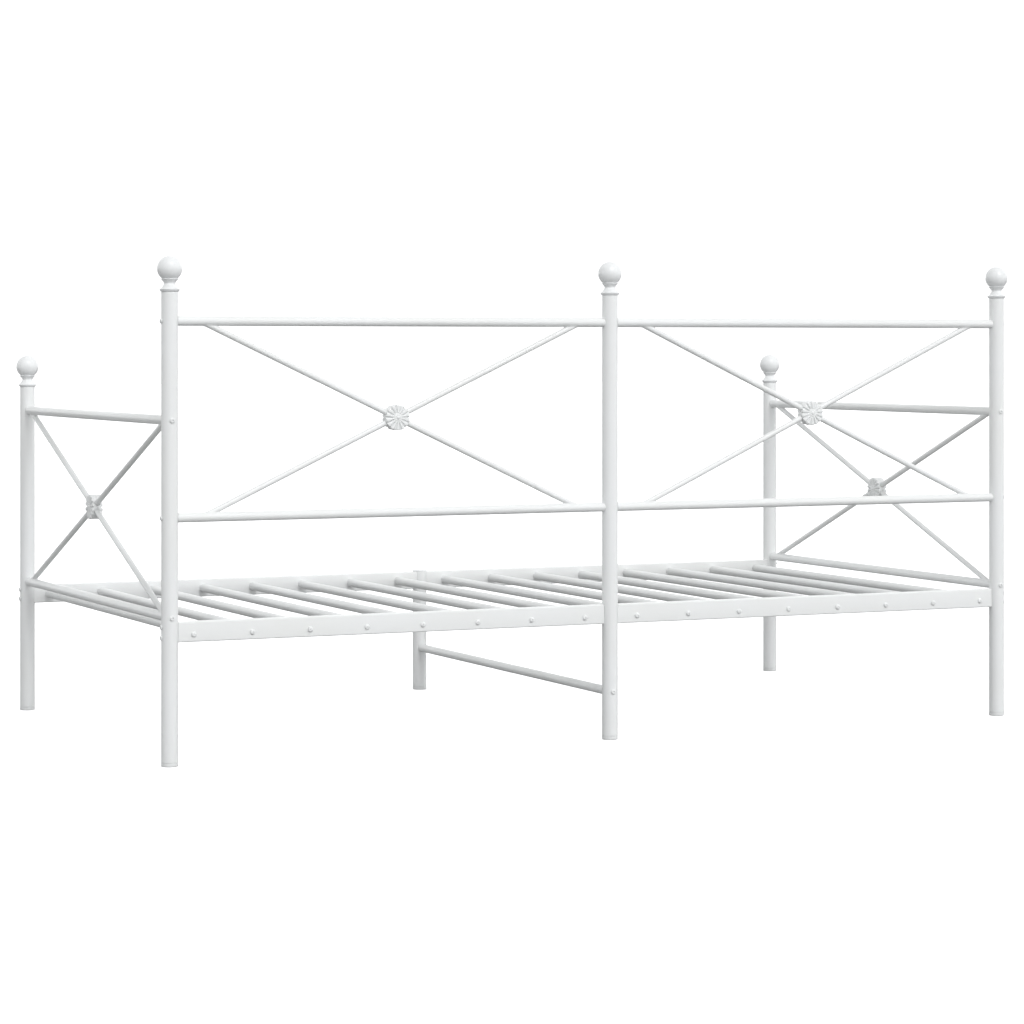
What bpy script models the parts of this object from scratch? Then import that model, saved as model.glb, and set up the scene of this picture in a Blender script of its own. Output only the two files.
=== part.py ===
"""Steel daybed with a two-bay crossed-bar back, crossed-bar arms and a slatted base.

Frame: +Z up, origin on the floor under the middle of the bed, X along the bed's length,
the back at +Y and the open front at -Y.  Left and right are seen from the front: left is -X.
"""
import math

import bmesh
import bpy
from mathutils import Matrix, Vector

# ---- driving dimensions, metres -------------------------------------------------------------
GAP = 0.0003                 # clearance left between touching pieces
CUTTER_MARGIN = 0.0500       # how far a cutter runs past what it cuts

POST_X = 1.023               # end post axes, from the middle
POST_Y = 0.536               # back and front post axes, from the middle
POST_R = 0.0175
POST_WALL = 0.0010
BACK_POST_TOP = 0.9844
FRONT_POST_TOP = 0.7742
LEG_TOP = 0.3000

BACK_TOP_RAIL_Z = 0.9242
BACK_LOWER_RAIL_Z = 0.5154
ARM_TOP_RAIL_Z = 0.7178
ARM_LOWER_RAIL_Z = 0.3084
RAIL_R = 0.0100
RAIL_WALL = 0.0010
STRETCHER_Z = 0.1064

SIDE_RAIL_BOTTOM = 0.2565
SIDE_RAIL_TOP = 0.2997
SIDE_RAIL_OUTER = 0.0056     # outer face, outward of the post axis plane
SIDE_RAIL_THICK = 0.0180
SIDE_RAIL_WALL = 0.0012
SIDE_RAIL_CORNER = 0.0030

SLAT_COUNT = 16
SLAT_PITCH = 0.12963
SLAT_Z = (SIDE_RAIL_BOTTOM + SIDE_RAIL_TOP) / 2
SLAT_R = 0.0100
SLAT_WALL = 0.0008

BAR_R = 0.00625
BACK_CROSS_X = 0.5140        # crossing of each back bay
BACK_CROSS_Z = 0.7190
BACK_BAR_SLOPE = 0.4655
ARM_CROSS_Y = 0.0052
ARM_CROSS_Z = 0.5130
ARM_BAR_SLOPE = 0.4030

ROSETTE_R = 0.0278
ROSETTE_HALF = 0.0148        # half of the pair's total thickness
ROSETTE_BACK = GAP / 2       # back face of each half, from the bars' plane
BOSS_R = 0.0098
RIVET_R = 0.0030
RIVET_HALF = 0.0100
GROOVE_R = 0.0068            # grooves in the discs, clear of the bars at any facet
LAP_LENGTH = 0.0400          # length along a bar of the halving at its crossing
LAP_DEPTH = 0.0100

FOOT_HEIGHT = 0.0080
FOOT_CHAMFER = 0.0012
SPIGOT_LENGTH = 0.0160
SPIGOT_R = POST_R - POST_WALL - GAP
LEG_CAP_HEIGHT = 0.0034
LEG_CAP_CHAMFER = 0.0016

BALL_R = 0.02625
BALL_CENTER = 0.0484         # above the finial's flange underside
FLANGE_R = 0.0211
NECK_R = 0.0116
CUP_LIP_R = 0.0185           # rim of the cup the ball sits in

# ---- facets ---------------------------------------------------------------------------------
POST_SEGMENTS = 24
RAIL_SEGMENTS = 16
BAR_SEGMENTS = 12
ROSETTE_SEGMENTS = 24
FINIAL_SEGMENTS = 20
CORNER_SEGMENTS = 2
BALL_STEPS = 8
SHARP_ANGLE = 35.0           # degrees
MERGE = 0.00001
# Turns, in facets, that keep the corners of the grooves, rivet and discs apart.
GROOVE_TURN = 0.25
GROOVE_TURN_STEP = 0.12
DISC_TURN = 0.25

# ---- finishes: colour, roughness, metallic --------------------------------------------------
POWDER_COAT = ((0.83, 0.84, 0.84), 0.42, 0.0)
CAST_COAT = ((0.82, 0.83, 0.83), 0.48, 0.0)
PAINTED_PLASTIC = ((0.84, 0.85, 0.85), 0.30, 0.0)
FOOT_PLASTIC = ((0.78, 0.79, 0.79), 0.55, 0.0)

X_AXIS = Vector((1.0, 0.0, 0.0))
Y_AXIS = Vector((0.0, 1.0, 0.0))
Z_AXIS = Vector((0.0, 0.0, 1.0))


def clear_scene():
    for obj in list(bpy.data.objects):
        bpy.data.objects.remove(obj, do_unlink=True)


def new_collection(name):
    collection = bpy.data.collections.new(name)
    bpy.context.scene.collection.children.link(collection)
    return collection


def pose(origin, along, side):
    """Matrix that puts local Z along 'along' and local X along 'side', at 'origin'."""
    z = along.normalized()
    x = side.normalized()
    y = z.cross(x)
    rotation = Matrix((x, y, z)).transposed().to_4x4()
    return Matrix.Translation(origin) @ rotation


def facet_turn(segments, facets):
    """Turn about local Z by a number of facets, which sets where a polygon's corners fall."""
    return Matrix.Rotation(math.tau * facets / segments, 4, "Z")


def upright_place(x, y, z=0.0):
    """Place on a post axis, with a flat of the polygon and not a corner facing each rail."""
    return Matrix.Translation((x, y, z)) @ facet_turn(POST_SEGMENTS, 0.5)


def rail_place(start, along):
    """Place of a round rail, with a flat of the polygon and not a corner facing the bars."""
    return pose(start, along, Z_AXIS) @ facet_turn(RAIL_SEGMENTS, 0.5)


def give_finish(obj, finish):
    colour, roughness, metallic = finish
    material = bpy.data.materials.new(obj.name + "_finish")
    material.use_nodes = True
    shader = material.node_tree.nodes["Principled BSDF"]
    shader.inputs["Base Color"].default_value = (*colour, 1.0)
    shader.inputs["Roughness"].default_value = roughness
    shader.inputs["Metallic"].default_value = metallic
    obj.data.materials.append(material)


def smooth(mesh):
    mesh.shade_smooth()
    mesh.set_sharp_from_angle(angle=math.radians(SHARP_ANGLE))


def as_cutter(obj):
    obj.hide_render = True
    obj.display_type = "WIRE"
    return obj


def turned(name, profile, segments, collection, matrix, closed=False):
    """Profile of (radius, height) points, down the outer side, turned about local Z."""
    mesh = bpy.data.meshes.new(name)
    points = [(radius, 0.0, height) for radius, height in profile]
    edges = [(i, i + 1) for i in range(len(points) - 1)]
    if closed:
        edges.append((len(points) - 1, 0))
    mesh.from_pydata(points, edges, [])
    obj = bpy.data.objects.new(name, mesh)
    collection.objects.link(obj)
    obj.matrix_world = matrix
    screw = obj.modifiers.new("turn", "SCREW")
    screw.axis = "Z"
    screw.angle = math.tau
    screw.steps = segments
    screw.render_steps = segments
    screw.use_merge_vertices = True
    screw.merge_threshold = MERGE
    screw.use_smooth_shade = True
    return obj


def tube_profile(radius, wall, low, high):
    return [(radius, high), (radius, low), (radius - wall, low), (radius - wall, high)]


def rod_profile(radius, low, high):
    return [(0.0, high), (radius, high), (radius, low), (0.0, low)]


def boolean(obj, other, operation="DIFFERENCE"):
    modifier = obj.modifiers.new(operation.lower(), "BOOLEAN")
    modifier.operation = operation
    modifier.solver = "EXACT"
    modifier.object = other


def box_cutter(name, size, collection, matrix):
    mesh = bpy.data.meshes.new(name)
    shape = bmesh.new()
    bmesh.ops.create_cube(shape, size=1.0)
    bmesh.ops.scale(shape, vec=size, verts=shape.verts)
    shape.to_mesh(mesh)
    shape.free()
    obj = bpy.data.objects.new(name, mesh)
    collection.objects.link(obj)
    obj.matrix_world = matrix
    return as_cutter(obj)


def arc(center, radius, start, end, steps):
    """Points of an arc, angles in degrees."""
    points = []
    for i in range(steps + 1):
        angle = math.radians(start + (end - start) * i / steps)
        points.append((center[0] + radius * math.cos(angle), center[1] + radius * math.sin(angle)))
    return points


# ---- posts, leg, feet and finials -----------------------------------------------------------
def post_places():
    """Name, X, Y and top of every upright."""
    return [
        ("back_post_left", -POST_X, POST_Y, BACK_POST_TOP),
        ("back_post_center", 0.0, POST_Y, BACK_POST_TOP),
        ("back_post_right", POST_X, POST_Y, BACK_POST_TOP),
        ("front_post_left", -POST_X, -POST_Y, FRONT_POST_TOP),
        ("front_post_right", POST_X, -POST_Y, FRONT_POST_TOP),
        ("front_center_leg", 0.0, -POST_Y, LEG_TOP),
    ]


def make_upright(name, x, y, top, parts):
    profile = tube_profile(POST_R, POST_WALL, FOOT_HEIGHT + GAP, top)
    post = turned(name, profile, POST_SEGMENTS, parts, upright_place(x, y), closed=True)
    give_finish(post, POWDER_COAT)


def make_foot_plug(name, x, y, parts):
    spigot_top = FOOT_HEIGHT + SPIGOT_LENGTH
    profile = [
        (0.0, spigot_top),
        (SPIGOT_R, spigot_top),
        (SPIGOT_R, FOOT_HEIGHT),
        (POST_R, FOOT_HEIGHT),
        (POST_R, FOOT_CHAMFER),
        (POST_R - FOOT_CHAMFER, 0.0),
        (0.0, 0.0),
    ]
    plug = turned(name, profile, POST_SEGMENTS, parts, upright_place(x, y))
    give_finish(plug, FOOT_PLASTIC)


def make_leg_cap(parts):
    profile = [
        (0.0, LEG_CAP_HEIGHT),
        (POST_R - LEG_CAP_CHAMFER, LEG_CAP_HEIGHT),
        (POST_R, LEG_CAP_HEIGHT - LEG_CAP_CHAMFER),
        (POST_R, 0.0),
        (SPIGOT_R, 0.0),
        (SPIGOT_R, -SPIGOT_LENGTH),
        (0.0, -SPIGOT_LENGTH),
    ]
    place = upright_place(0.0, -POST_Y, LEG_TOP + GAP)
    cap = turned("front_center_leg_cap", profile, POST_SEGMENTS, parts, place)
    give_finish(cap, PAINTED_PLASTIC)


def finial_profile():
    """Ball, cup, neck, flared skirt, flange and spigot; height 0 is the flange's underside."""
    cup_lip_z = BALL_CENTER - math.sqrt(BALL_R ** 2 - CUP_LIP_R ** 2)
    lip_angle = math.degrees(math.atan2(cup_lip_z - BALL_CENTER, CUP_LIP_R))
    ball = arc((0.0, BALL_CENTER), BALL_R, 90.0, lip_angle, BALL_STEPS)
    ball[0] = (0.0, ball[0][1])
    cup = [(0.0172, cup_lip_z - 0.0036), (0.0138, cup_lip_z - 0.0081)]
    neck = [(NECK_R, 0.0188), (NECK_R, 0.0165)]
    skirt = [(0.0142, 0.0127), (0.0173, 0.0085), (FLANGE_R - 0.0010, 0.0060)]
    flange = [(FLANGE_R, 0.0054), (FLANGE_R - 0.0004, 0.0044), (POST_R + 0.0005, 0.0)]
    spigot = [(SPIGOT_R, 0.0), (SPIGOT_R, -SPIGOT_LENGTH), (0.0, -SPIGOT_LENGTH)]
    return ball + cup + neck + skirt + flange + spigot


def make_finial(name, x, y, post_top, parts):
    place = Matrix.Translation((x, y, post_top + GAP))
    finial = turned(name, finial_profile(), FINIAL_SEGMENTS, parts, place)
    give_finish(finial, PAINTED_PLASTIC)


def post_cutter(name, x, y, cutters):
    profile = rod_profile(POST_R + GAP, -CUTTER_MARGIN, BACK_POST_TOP + CUTTER_MARGIN)
    return as_cutter(turned(name, profile, POST_SEGMENTS, cutters, upright_place(x, y)))


# ---- round rails and the stretcher ----------------------------------------------------------
def make_round_rail(name, start, end, wall, post_cutters, parts):
    """Round tube between two post axes, coped to the posts at both ends."""
    along = end - start
    profile = tube_profile(RAIL_R, wall, 0.0, along.length)
    rail = turned(name, profile, RAIL_SEGMENTS, parts, rail_place(start, along), closed=True)
    for cutter in post_cutters:
        boolean(rail, cutter)
    give_finish(rail, POWDER_COAT)


def rail_cutter(name, start, end, cutters):
    """Solid a little fatter than a round rail, for coping the bars."""
    along = end - start
    profile = rod_profile(RAIL_R + GAP, 0.0, along.length)
    return as_cutter(turned(name, profile, RAIL_SEGMENTS, cutters, rail_place(start, along)))


# ---- rectangular side rails -----------------------------------------------------------------
def rounded_rectangle(width, height, corner):
    points = []
    corners = [(1, 1, 0.0), (-1, 1, 90.0), (-1, -1, 180.0), (1, -1, 270.0)]
    for sx, sy, start in corners:
        center = (sx * (width / 2 - corner), sy * (height / 2 - corner))
        points += arc(center, corner, start, start + 90.0, CORNER_SEGMENTS)
    return points


def closed_spline(curve, points):
    spline = curve.splines.new("POLY")
    spline.points.add(len(points) - 1)
    for point, (x, y) in zip(spline.points, points):
        point.co = (x, y, 0.0, 1.0)
    spline.use_cyclic_u = True


def make_side_rail(name, sign_x, sign_y, post_cutters, parts):
    """Rectangular tube from an end post to the centre upright, coped at both ends."""
    height = SIDE_RAIL_TOP - SIDE_RAIL_BOTTOM
    curve = bpy.data.curves.new(name + "_outline", "CURVE")
    curve.dimensions = "2D"
    curve.fill_mode = "BOTH"
    curve.extrude = POST_X / 2
    curve.resolution_u = 1
    closed_spline(curve, rounded_rectangle(height, SIDE_RAIL_THICK, SIDE_RAIL_CORNER))
    inner = rounded_rectangle(height - 2 * SIDE_RAIL_WALL, SIDE_RAIL_THICK - 2 * SIDE_RAIL_WALL,
                              SIDE_RAIL_CORNER - SIDE_RAIL_WALL)
    closed_spline(curve, inner)
    guide = bpy.data.objects.new(name + "_outline", curve)
    bpy.context.scene.collection.objects.link(guide)
    middle_y = sign_y * (POST_Y + SIDE_RAIL_OUTER - SIDE_RAIL_THICK / 2)
    middle = Vector((sign_x * POST_X / 2, middle_y, (SIDE_RAIL_BOTTOM + SIDE_RAIL_TOP) / 2))
    guide.matrix_world = pose(middle, X_AXIS, Z_AXIS)
    rail = curve_to_mesh(name, guide, parts)
    for cutter in post_cutters:
        boolean(rail, cutter)
    give_finish(rail, POWDER_COAT)


def curve_to_mesh(name, guide, collection):
    """Mesh object with the curve's evaluated shape and place; the curve is removed."""
    bpy.context.view_layer.update()
    evaluated = guide.evaluated_get(bpy.context.evaluated_depsgraph_get())
    mesh = bpy.data.meshes.new_from_object(evaluated)
    mesh.name = name
    shape = bmesh.new()
    shape.from_mesh(mesh)
    bmesh.ops.remove_doubles(shape, verts=shape.verts, dist=MERGE)
    bmesh.ops.recalc_face_normals(shape, faces=shape.faces)
    shape.to_mesh(mesh)
    shape.free()
    smooth(mesh)
    obj = bpy.data.objects.new(name, mesh)
    collection.objects.link(obj)
    obj.matrix_world = guide.matrix_world
    bpy.data.objects.remove(guide, do_unlink=True)
    return obj


# ---- slats ----------------------------------------------------------------------------------
def make_slats(parts):
    inner_face = POST_Y + SIDE_RAIL_OUTER - SIDE_RAIL_THICK
    reach = inner_face - GAP
    for index in range(SLAT_COUNT):
        x = (index - (SLAT_COUNT - 1) / 2) * SLAT_PITCH
        name = "slat_%02d" % (index + 1)
        matrix = rail_place(Vector((x, 0.0, SLAT_Z)), Y_AXIS)
        profile = tube_profile(SLAT_R, SLAT_WALL, -reach, reach)
        slat = turned(name, profile, RAIL_SEGMENTS, parts, matrix, closed=True)
        give_finish(slat, POWDER_COAT)


# ---- crossed bars and rosettes --------------------------------------------------------------
def make_cross(name, center, in_plane, normal, slope, levels, rail_cutters, parts, cutters):
    """Two round bars halved into each other at 'center', and the rosette riveted over them.

    The rising bar climbs towards +in_plane; it keeps the half on the +normal side.  Each bar
    runs between the rail axes at the two 'levels' and is coped to the rails there.
    """
    rising = (in_plane + slope * Z_AXIS).normalized()
    falling = (in_plane - slope * Z_AXIS).normalized()
    hole_profile = rod_profile(RIVET_R + GAP, -CUTTER_MARGIN, CUTTER_MARGIN)
    hole = as_cutter(turned(name + "_rivet_hole", hole_profile, BAR_SEGMENTS, cutters,
                            pose(center, normal, Z_AXIS)))
    bar_cutters = []
    ways = (("rising", rising, falling, 1.0), ("falling", falling, rising, -1.0))
    for kind, along, other, keep in ways:
        matrix = pose(center, along, normal)
        reach = sorted((level - center.z) / along.z for level in levels)
        bar = turned(name + "_bar_" + kind, rod_profile(BAR_R, *reach), BAR_SEGMENTS, parts, matrix)
        for cutter in rail_cutters:
            boolean(bar, cutter)
        offset = keep * (GAP / 2 - LAP_DEPTH / 2) * normal
        notch = box_cutter(name + "_notch_" + kind, (LAP_DEPTH, 2 * (BAR_R + GAP), LAP_LENGTH),
                           cutters, pose(center + offset, other, normal))
        boolean(bar, notch)
        boolean(bar, hole)
        give_finish(bar, POWDER_COAT)
        groove_place = matrix @ facet_turn(BAR_SEGMENTS, GROOVE_TURN + GROOVE_TURN_STEP * keep)
        groove = turned(name + "_groove_" + kind, rod_profile(GROOVE_R, -LAP_LENGTH, LAP_LENGTH),
                        BAR_SEGMENTS, cutters, groove_place)
        bar_cutters.append(as_cutter(groove))
    make_rosette(name + "_rosette", pose(center, normal, Z_AXIS), bar_cutters, parts, cutters)


def rosette_profile():
    """One closed turned outline: button, boss, hollow round it, petal crests, rim and flat back."""
    return [
        (0.0, ROSETTE_HALF),
        (0.0026, ROSETTE_HALF - 0.0006),
        (0.0040, ROSETTE_HALF - 0.0020),
        (BOSS_R - 0.0023, ROSETTE_HALF - 0.0019),
        (BOSS_R, ROSETTE_HALF - 0.0030),
        (BOSS_R + 0.0014, ROSETTE_HALF - 0.0040),
        (0.0190, ROSETTE_HALF - 0.0022),
        (ROSETTE_R - 0.0014, ROSETTE_HALF - 0.0026),
        (ROSETTE_R, ROSETTE_HALF - 0.0042),
        (ROSETTE_R - 0.0006, ROSETTE_BACK),
        (0.0, ROSETTE_BACK),
    ]


def make_rosette(name, matrix, bar_cutters, parts, cutters):
    """A half on each side of the bars, grooved over them, and the rivet that joins the pair."""
    outline = rosette_profile()
    outer_place = matrix @ facet_turn(ROSETTE_SEGMENTS, DISC_TURN)
    inner_place = outer_place @ Matrix.Rotation(math.pi, 4, "X")
    rosette = turned(name, outline, ROSETTE_SEGMENTS, parts, outer_place)
    back = as_cutter(turned(name + "_inner_disc", outline, ROSETTE_SEGMENTS, cutters, inner_place))
    shank = rod_profile(RIVET_R, -RIVET_HALF, RIVET_HALF)
    rivet_place = matrix @ facet_turn(BAR_SEGMENTS, DISC_TURN)
    rivet = as_cutter(turned(name + "_rivet", shank, BAR_SEGMENTS, cutters, rivet_place))
    boolean(rosette, back, "UNION")
    for cutter in bar_cutters:
        boolean(rosette, cutter)
    boolean(rosette, rivet, "UNION")
    give_finish(rosette, CAST_COAT)


# ---- assembly -------------------------------------------------------------------------------
def build():
    clear_scene()
    parts = new_collection("daybed")
    cutters = new_collection("cutters")

    uprights = {}
    for name, x, y, top in post_places():
        make_upright(name, x, y, top, parts)
        make_foot_plug("foot_plug_" + name, x, y, parts)
        if name.startswith(("back_post", "front_post")):
            make_finial("finial_" + name, x, y, top, parts)
        uprights[name] = post_cutter(name + "_clearance", x, y, cutters)
    make_leg_cap(parts)

    back_lines = {}
    for level, z in (("top", BACK_TOP_RAIL_Z), ("lower", BACK_LOWER_RAIL_Z)):
        start = Vector((-POST_X, POST_Y, z))
        middle = Vector((0.0, POST_Y, z))
        end = Vector((POST_X, POST_Y, z))
        left_ends = (uprights["back_post_left"], uprights["back_post_center"])
        right_ends = (uprights["back_post_center"], uprights["back_post_right"])
        make_round_rail("back_%s_rail_left" % level, start, middle, RAIL_WALL, left_ends, parts)
        make_round_rail("back_%s_rail_right" % level, middle, end, RAIL_WALL, right_ends, parts)
        back_lines[level] = rail_cutter("back_%s_rail_clearance" % level, start, end, cutters)

    for side, sign in (("left", -1.0), ("right", 1.0)):
        x = sign * POST_X
        ends = (uprights["front_post_" + side], uprights["back_post_" + side])
        arm_lines = []
        for level, z in (("top", ARM_TOP_RAIL_Z), ("lower", ARM_LOWER_RAIL_Z)):
            start = Vector((x, -POST_Y, z))
            end = Vector((x, POST_Y, z))
            make_round_rail("arm_%s_rail_%s" % (level, side), start, end, RAIL_WALL, ends, parts)
            clearance = "arm_%s_rail_%s_clearance" % (level, side)
            arm_lines.append(rail_cutter(clearance, start, end, cutters))
        make_cross("arm_" + side, Vector((x, ARM_CROSS_Y, ARM_CROSS_Z)), Y_AXIS, sign * X_AXIS,
                   ARM_BAR_SLOPE, (ARM_LOWER_RAIL_Z, ARM_TOP_RAIL_Z), arm_lines, parts, cutters)
        make_cross("back_" + side, Vector((sign * BACK_CROSS_X, POST_Y, BACK_CROSS_Z)), X_AXIS, Y_AXIS,
                   BACK_BAR_SLOPE, (BACK_LOWER_RAIL_Z, BACK_TOP_RAIL_Z), list(back_lines.values()),
                   parts, cutters)
        rows = (("back", 1.0, "back_post_center"), ("front", -1.0, "front_center_leg"))
        for row, row_sign, center in rows:
            rail_ends = (uprights["%s_post_%s" % (row, side)], uprights[center])
            make_side_rail("%s_side_rail_%s" % (row, side), sign, row_sign, rail_ends, parts)

    make_round_rail("center_stretcher", Vector((0.0, -POST_Y, STRETCHER_Z)),
                    Vector((0.0, POST_Y, STRETCHER_Z)), RAIL_WALL,
                    (uprights["front_center_leg"], uprights["back_post_center"]), parts)
    make_slats(parts)
    bpy.context.view_layer.update()


build()
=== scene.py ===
"""Looks of the steel daybed: finer meshes, fasteners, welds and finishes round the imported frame.

Frame: metres, +Z up, the bed's length along X, its back at +Y.  Every piece is built in place,
from where the frame's nodes are, and rides on the one rigid body.
"""
import math

import bpy
import numpy as np
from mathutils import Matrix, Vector


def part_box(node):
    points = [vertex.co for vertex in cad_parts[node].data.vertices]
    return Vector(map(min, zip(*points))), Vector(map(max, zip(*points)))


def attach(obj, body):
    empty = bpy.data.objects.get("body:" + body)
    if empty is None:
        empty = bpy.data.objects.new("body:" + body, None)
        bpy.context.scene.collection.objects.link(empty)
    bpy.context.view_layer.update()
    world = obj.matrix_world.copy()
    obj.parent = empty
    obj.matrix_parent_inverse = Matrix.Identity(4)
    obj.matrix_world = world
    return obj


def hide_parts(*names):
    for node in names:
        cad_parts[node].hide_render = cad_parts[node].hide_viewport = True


# ---- sizes of the frame's parts, metres -----------------------------------------------------
GAP = 0.0003                  # clearance between touching pieces
POST_R = 0.0175
RAIL_R = 0.0100
SLAT_R = 0.0100
BAR_R = 0.00625
BACK_SLOPE = 0.4655           # climb of the crossed bars over their run
ARM_SLOPE = 0.4030
NOTCH_HALF = 0.0145           # half length of the halving where two bars cross
NOTCH_STEP = 0.0002           # length of the step into the halving
TUBE_WALL = 0.0010
SIDE_RAIL_WALL = 0.0012
SLAT_WALL = 0.0008
FLAT_CORNER = 0.0030          # outside corner of the rectangular side rails
CORE_R = 0.0001               # turned outlines start and end this far from their axis

# ---- cut ends and worn edges ----------------------------------------------------------------
LIP = 0.0005                  # rounding of cut tube ends
WORN_BAND = 0.0016            # little wear is left this far behind the rounding
WORN_FADE = 0.0060            # and none from here
# rings of a cut end: how far it is drawn in, how far it is set back, and its wear
CUT_END = ((LIP, 0.0, 0.7), (0.3 * LIP, 0.3 * LIP, 1.0), (0.0, LIP, 0.8),
           (0.0, LIP + WORN_BAND, 0.25), (0.0, LIP + WORN_FADE, 0.0))
BORE_WEAR = 0.3
WORN_BEND = 150.0             # turned pieces wear where they bend outwards by more than this
FULL_BEND = 1050.0            # and most from here, both in radians per metre of outline
SHORTEST = 1e-5               # least length that a bend is spread over

# ---- plugs and caps in the uprights' ends ---------------------------------------------------
SPIGOT_R = POST_R - TUBE_WALL - GAP
SPIGOT_EDGE = 0.0008
NICK = 0.0002                 # small step where two turned surfaces meet
FOOT_ROUND = 0.0014           # lower edge of a foot
FOOT_RING = 0.0065            # width of the ring that stands on the floor
FOOT_HOLLOW = 0.0006          # depth of the hollow inside it
FOOT_SLOPE = 0.0010
FOOT_EDGE = 0.0004            # upper edge of a foot
FOOT_FILLET = (0.0001, 0.0003)   # step from a foot's shoulder in to the spigot and up along it
CAP_EDGE = 0.0016             # rounding of the leg cap
CAP_EDGE_DROP = 0.0019        # from its crown down to the rounding's middle
CAP_CROWN = 0.0004            # rise of the crown
CAP_INSET = 0.0003

# ---- finials: heights are above the flange's underside --------------------------------------
FLANGE_R = 0.0211
FLANGE_LIP = 0.0006
FLANGE_LIP_Z = 0.0052
NECK_R = 0.0116
NECK_Z = 0.0170
CUP_R = 0.0180
CUP_LIP = 0.0007
CUP_Z = 0.0268
BALL_SEAT = 0.0010            # the ball leaves its cup this far above the lip's middle
BALL_POLE = 89.7              # degrees: its outline stops just short of the pole
SEAT_FILLET = 0.0003
# curves from flange to cup, as (radius, height) of their ends and handles
FLARE = ((POST_R + 0.0005, 0.0002), (POST_R + 0.0016, 0.0010),
         (FLANGE_R - 0.0006, 0.0036), (FLANGE_R - 0.0001, FLANGE_LIP_Z - 0.0004))
SKIRT = ((FLANGE_R - 0.0011, FLANGE_LIP_Z + 0.0007), (0.0176, 0.0070),
         (0.0138, 0.0129), (NECK_R, NECK_Z))
BOWL = ((NECK_R, NECK_Z + 0.0006), (NECK_R + 0.0004, NECK_Z + 0.0030),
        (0.0150, 0.0230), (CUP_R - 0.0005, CUP_Z - 0.0008))

# ---- rosettes: heights are above the plane of the bars --------------------------------------
ROSETTE_R = 0.0278
PLAIN_R = 0.0272              # rim at the joint of the two halves
PETALS = 14
CREST = 0.0125
PETAL_ARCH = 0.0003           # rise of a petal between boss and rim
PETAL_ROUND = 0.0004          # fall of a petal from its crest to its flanks
FLUTE_DEPTH = 0.0034
FLUTE_START = 0.40            # share of a petal's half width where its flank begins
FLUTE_LEAD = 0.0006           # a flute starts this far inside the boss's edge
FLUTE_RUN = 0.0040            # and has its full depth after this length
RIM_SCALLOP = 0.0012
RIM_FALL = 0.0011             # fall of the face towards the rim
RIM_FALL_RUN = 0.0028
RIM_EDGE = 0.0005             # height of the rim's rounded edge
RIM_ROUND = ((0.0002, 0.0002), (0.0006, 0.00003))   # drawn in, below the face
LEAST_RISE = 0.0001           # between the rim's side and the face
RIM_STEPS = ((0.02, 0.15), (0.10, 0.15), (0.35, 0.15), (0.60, 0.15), (0.80, 0.15),
             (0.92, 0.6), (1.0, 0.6))               # share of the rim's side, wear
RIM_WEAR = 0.8
BOSS_R = 0.0098
BOSS_H = 0.0130
BOSS_FALL = 0.0014            # fall of the boss from its middle to its edge
BOSS_BLEND = 0.00025          # softness of the step from boss to petals
BUTTON_R = 0.0040             # rivet head in the middle of the boss
BUTTON_H = 0.0020
DITCH_DEPTH = 0.0006          # round the rivet head
DITCH_HALF = 0.0007
GROOVE_R = 0.0067             # clearance groove over a bar
RIVET_R = 0.0027
RIVET_EDGE = 0.0003
RIVET_SHY = 0.0010            # the rivet's ends lie this far below the boss
CREST_WEAR = 0.5
BACK_EDGE = 0.0003            # last ring of a back, inside its edge
STEP_HALF = 0.0008            # half width of the finer rings at the boss's edge
PETAL_MARGINS = (0.0014, 0.0030)   # from the boss and from the rim to the petals' rings

# ---- welds ----------------------------------------------------------------------------------
WELD_WIDTH = 0.0034
WELD_BULGE = 0.22             # share of the width
WELD_RIPPLES = 11             # ripples round a bead, and their share of the width
WELD_RIPPLE = 0.10
WELD_WAVES = 3                # slower waves, and their share
WELD_WAVE = 0.07
WELD_ROOT = 0.0004            # a bead's hidden side lies this far inside the metal

# ---- bolts and screws -----------------------------------------------------------------------
HEAD_R = 0.0057               # frame bolts
HEAD_H = 0.0029
HEAD_SOCKET = 0.36            # the socket's share of the head's radius
SCREW_R = 0.0059              # slat screws
SCREW_H = 0.0041
SCREW_SOCKET = 0.22
SCREW_DROP = 0.0056           # below the slat's axis
SCREW_SEAT = 0.00005          # clearance under a slat screw's head
PAIR_HALF = 0.0110            # half the distance between the two bolts of a side rail
SHANK_R = 0.0028
SHANK_LENGTH = 0.0040
HEAD_SIDE = 0.0006            # height of a head's side under its dome
HEAD_CHAMFER = 0.0005
SOCKET_CROWN = 1.32           # flat crown round the socket, as a share of the socket's radius
SOCKET_MOUTH = 1.03           # so are these four
SOCKET_FLOOR = 0.99
SOCKET_DEPTH = 0.9
SOCKET_TIP = 0.3
SOCKET_TIP_DEPTH = 0.0004     # drill point in the socket's floor
SOCKET_LIP = 0.0002           # chamfer round the hexagon

# ---- mesh resolution ------------------------------------------------------------------------
POST_SEGMENTS = 96
RAIL_SEGMENTS = 64
BAR_SEGMENTS = 48
FINIAL_SEGMENTS = 96
HEAD_SEGMENTS = 48
DOME_STEPS = 8
CORNER_SEGMENTS = 8
RIVET_SEGMENTS = 24
BACK_STEPS = 18
WELD_STEPS = 6
ROSETTE_SPOKES = 16 * PETALS

# ---- materials ------------------------------------------------------------------------------
COAT_IOR = 1.5
PLASTIC_IOR = 1.46
FLOOR_SCUFF = 0.0035          # height over which the feet are scuffed
SCUFF_COLOUR = (0.42, 0.41, 0.39)

# ---- camera ---------------------------------------------------------------------------------
CAMERA_PLACE = (3.0006, 6.4703, 0.8714)
CAMERA_AZIMUTH = 24.951       # degrees from straight behind the bed, towards its +X end
CAMERA_LENS = 105.31
CAMERA_SENSOR = 36.0
CAMERA_SHIFT_Y = -0.1617
CAMERA_REACH = 200.0

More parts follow.
